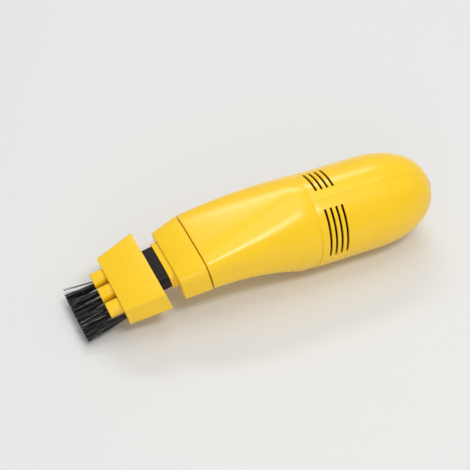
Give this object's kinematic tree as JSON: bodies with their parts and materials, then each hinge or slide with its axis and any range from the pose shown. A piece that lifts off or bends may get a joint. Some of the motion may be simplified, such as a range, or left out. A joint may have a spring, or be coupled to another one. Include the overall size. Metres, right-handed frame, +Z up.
{
  "type": "keyboard vacuum cleaner",
  "caption": "Hand-held keyboard vacuum cleaner: round motor housing with vent slits, tapering dust cup, drooping nose and a sliding brush head.",
  "frame": {"origin": "centre of the small flat under the housing that it rests on", "axes": "+X forward along the motor axis to the brush, +Y to the left, +Z up"},
  "size_m": [0.1537, 0.0393, 0.0382],
  "materials": {
    "yellow_shell": "glossy moulded ABS",
    "black_tube": "satin black moulding",
    "bristle": "black nylon filament",
    "black_rubber": "soft black rubber",
    "knob": "ribbed satin black",
    "filter_frame": "natural white moulding",
    "filter_cloth": "non-woven cloth",
    "fan": "black nylon moulding",
    "bulkhead": "black moulding",
    "motor_steel": "plated steel",
    "magnet": "dark ferrite",
    "armature": "enamelled copper windings on steel",
    "brass": "plain brass",
    "screw_steel": "zinc-plated steel"
  },
  "bodies": {
    "housing": {"housing_left": "yellow_shell", "housing_right": "yellow_shell", "filter_frame": "filter_frame", "filter_cloth": "filter_cloth", "fan_shroud": "bulkhead", "motor_mount": "bulkhead", "motor_can": "motor_steel", "motor_magnets": "magnet", "motor_end_cap": "bulkhead", "motor_bushes": "brass", "motor_terminals": "brass", "motor_screws": "screw_steel", "housing_screws": "screw_steel", "switch_body": "bulkhead", "switch_terminals": "brass", "cord_grommet": "black_rubber"},
    "rotor": {"motor_shaft": "motor_steel", "motor_armature": "armature", "fan_impeller": "fan"},
    "cup": {"front_shell": "yellow_shell"},
    "nose_piece": {"nose": "yellow_shell", "inlet_tube": "black_tube"},
    "head": {"brush_head": "yellow_shell", "bristles": "bristle"},
    "switch_slider": {"switch_knob": "knob"}
  },
  "joints": [
    {"name": "fan_spin", "type": "hinge", "parent": "housing", "child": "rotor", "pos_m": [0, 0, 0.0186], "axis": [1, 0, 0], "continuous": true},
    {"name": "switch_slide", "type": "slide", "parent": "housing", "child": "switch_slider", "axis": [1, 0, 0], "range_m": [0, 0.0025]},
    {"name": "cup_slide", "type": "slide", "parent": "housing", "child": "cup", "axis": [1, 0, 0], "range_m": [0, 0.01]},
    {"name": "nose_slide", "type": "slide", "parent": "cup", "child": "nose_piece", "axis": [0.9694, 0, -0.2453], "range_m": [0, 0.008]},
    {"name": "head_slide", "type": "slide", "parent": "nose_piece", "child": "head", "axis": [0.9694, 0, -0.2453], "range_m": [-0.004, 0.01]}
  ]
}
